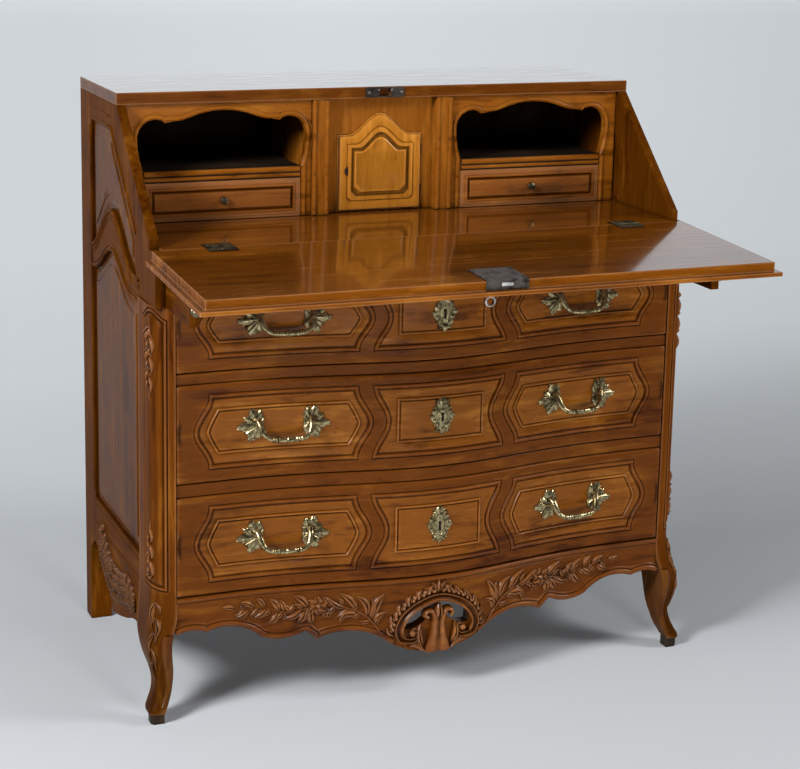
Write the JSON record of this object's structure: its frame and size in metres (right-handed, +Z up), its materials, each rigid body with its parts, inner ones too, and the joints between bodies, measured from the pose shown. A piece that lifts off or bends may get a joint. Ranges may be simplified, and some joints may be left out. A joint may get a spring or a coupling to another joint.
{
  "type": "fall-front writing bureau",
  "caption": "Slant-front writing bureau: a hinged fall front over pigeonholes and a small cupboard, above bow-fronted drawers, a carved apron and cabriole legs.",
  "frame": {"origin": "on the floor under the middle of the whole bureau's box, measured with the fall front open and the lopers out", "axes": "+X to the right seen from the front, +Y towards the back, +Z up"},
  "size_m": [0.982, 0.7818, 1],
  "materials": {
    "walnut": "waxed walnut",
    "inner_wood": "plain unpolished wood",
    "brass": "aged cast brass",
    "iron": "darkened iron plate",
    "steel": "worn steel"
  },
  "bodies": {
    "carcass": {"back_panel": "inner_wood", "bed_rail": "walnut", "bottom_drawer_frame": "inner_wood", "cupboard_frame": "walnut", "front_apron": "walnut", "left_bay_front": "walnut", "left_bed_hinge": "brass", "left_front_post": "walnut", "left_lower_panel": "walnut", "left_middle_rail": "walnut", "left_rear_post": "walnut", "left_shelf": "walnut", "left_side_apron": "walnut", "left_slope_stile": "walnut", "left_upper_panel": "walnut", "lower_drawer_frame": "walnut", "right_bay_front": "walnut", "right_bed_hinge": "brass", "right_front_post": "walnut", "right_lower_panel": "walnut", "right_middle_rail": "walnut", "right_rear_post": "walnut", "right_shelf": "walnut", "right_side_apron": "walnut", "right_slope_stile": "walnut", "right_upper_panel": "walnut", "strike_plate": "iron", "top_board": "walnut", "upper_drawer_frame": "walnut", "writing_bed": "walnut"},
    "fall": {"fall_front": "walnut", "fall_lock": "iron", "left_fall_hinge": "brass", "right_fall_hinge": "brass"},
    "bolt": {"lock_bolt": "steel"},
    "lock_key": {"key": "steel"},
    "loper_left": {"left_loper": "walnut", "left_loper_knob": "brass"},
    "loper_right": {"right_loper": "walnut", "right_loper_knob": "brass"},
    "small_drawer_left": {"left_small_drawer": "walnut", "left_small_knob": "brass"},
    "small_drawer_right": {"right_small_drawer": "walnut", "right_small_knob": "brass"},
    "door": {"cupboard_door": "walnut"},
    "drawer_top": {"top_drawer_front": "walnut", "top_drawer_box": "inner_wood", "top_left_handle": "brass", "top_right_handle": "brass", "top_escutcheon": "brass"},
    "drawer_middle": {"middle_drawer_front": "walnut", "middle_drawer_box": "inner_wood", "middle_left_handle": "brass", "middle_right_handle": "brass", "middle_escutcheon": "brass"},
    "drawer_bottom": {"bottom_drawer_front": "walnut", "bottom_drawer_box": "inner_wood", "bottom_left_handle": "brass", "bottom_right_handle": "brass", "bottom_escutcheon": "brass"}
  },
  "joints": [
    {"name": "fall_hinge", "type": "hinge", "parent": "carcass", "child": "fall", "pos_m": [0, -0.08808, 0.778], "axis": [1, 0, 0], "range_deg": [-140, 0]},
    {"name": "key_turn", "type": "hinge", "parent": "fall", "child": "lock_key", "pos_m": [0, -0.32364, 0.74362], "axis": [0, -0.0523, 0.9986], "range_deg": [0, 180]},
    {"name": "bolt_slide", "type": "slide", "parent": "fall", "child": "bolt", "axis": [0, -0.9986, -0.0523], "range_m": [0, 0.011]},
    {"name": "left_loper_slide", "type": "slide", "parent": "carcass", "child": "loper_left", "axis": [0, 1, 0], "range_m": [0, 0.135]},
    {"name": "right_loper_slide", "type": "slide", "parent": "carcass", "child": "loper_right", "axis": [0, 1, 0], "range_m": [0, 0.135]},
    {"name": "top_drawer_slide", "type": "slide", "parent": "carcass", "child": "drawer_top", "axis": [0, -1, 0], "range_m": [0, 0.15]},
    {"name": "middle_drawer_slide", "type": "slide", "parent": "carcass", "child": "drawer_middle", "axis": [0, -1, 0], "range_m": [0, 0.37]},
    {"name": "bottom_drawer_slide", "type": "slide", "parent": "carcass", "child": "drawer_bottom", "axis": [0, -1, 0], "range_m": [0, 0.37]},
    {"name": "left_small_drawer_slide", "type": "slide", "parent": "carcass", "child": "small_drawer_left", "axis": [0, -1, 0], "range_m": [0, 0.17]},
    {"name": "right_small_drawer_slide", "type": "slide", "parent": "carcass", "child": "small_drawer_right", "axis": [0, -1, 0], "range_m": [0, 0.17]},
    {"name": "cupboard_door_hinge", "type": "hinge", "parent": "carcass", "child": "door", "pos_m": [0.0785, 0.15322, 0.778], "axis": [0, 0, 1], "range_deg": [0, 95]}
  ],
  "couplings": [
    {"joint": "key_turn", "follows": "bolt_slide", "rad_per_m": 285.59}
  ]
}
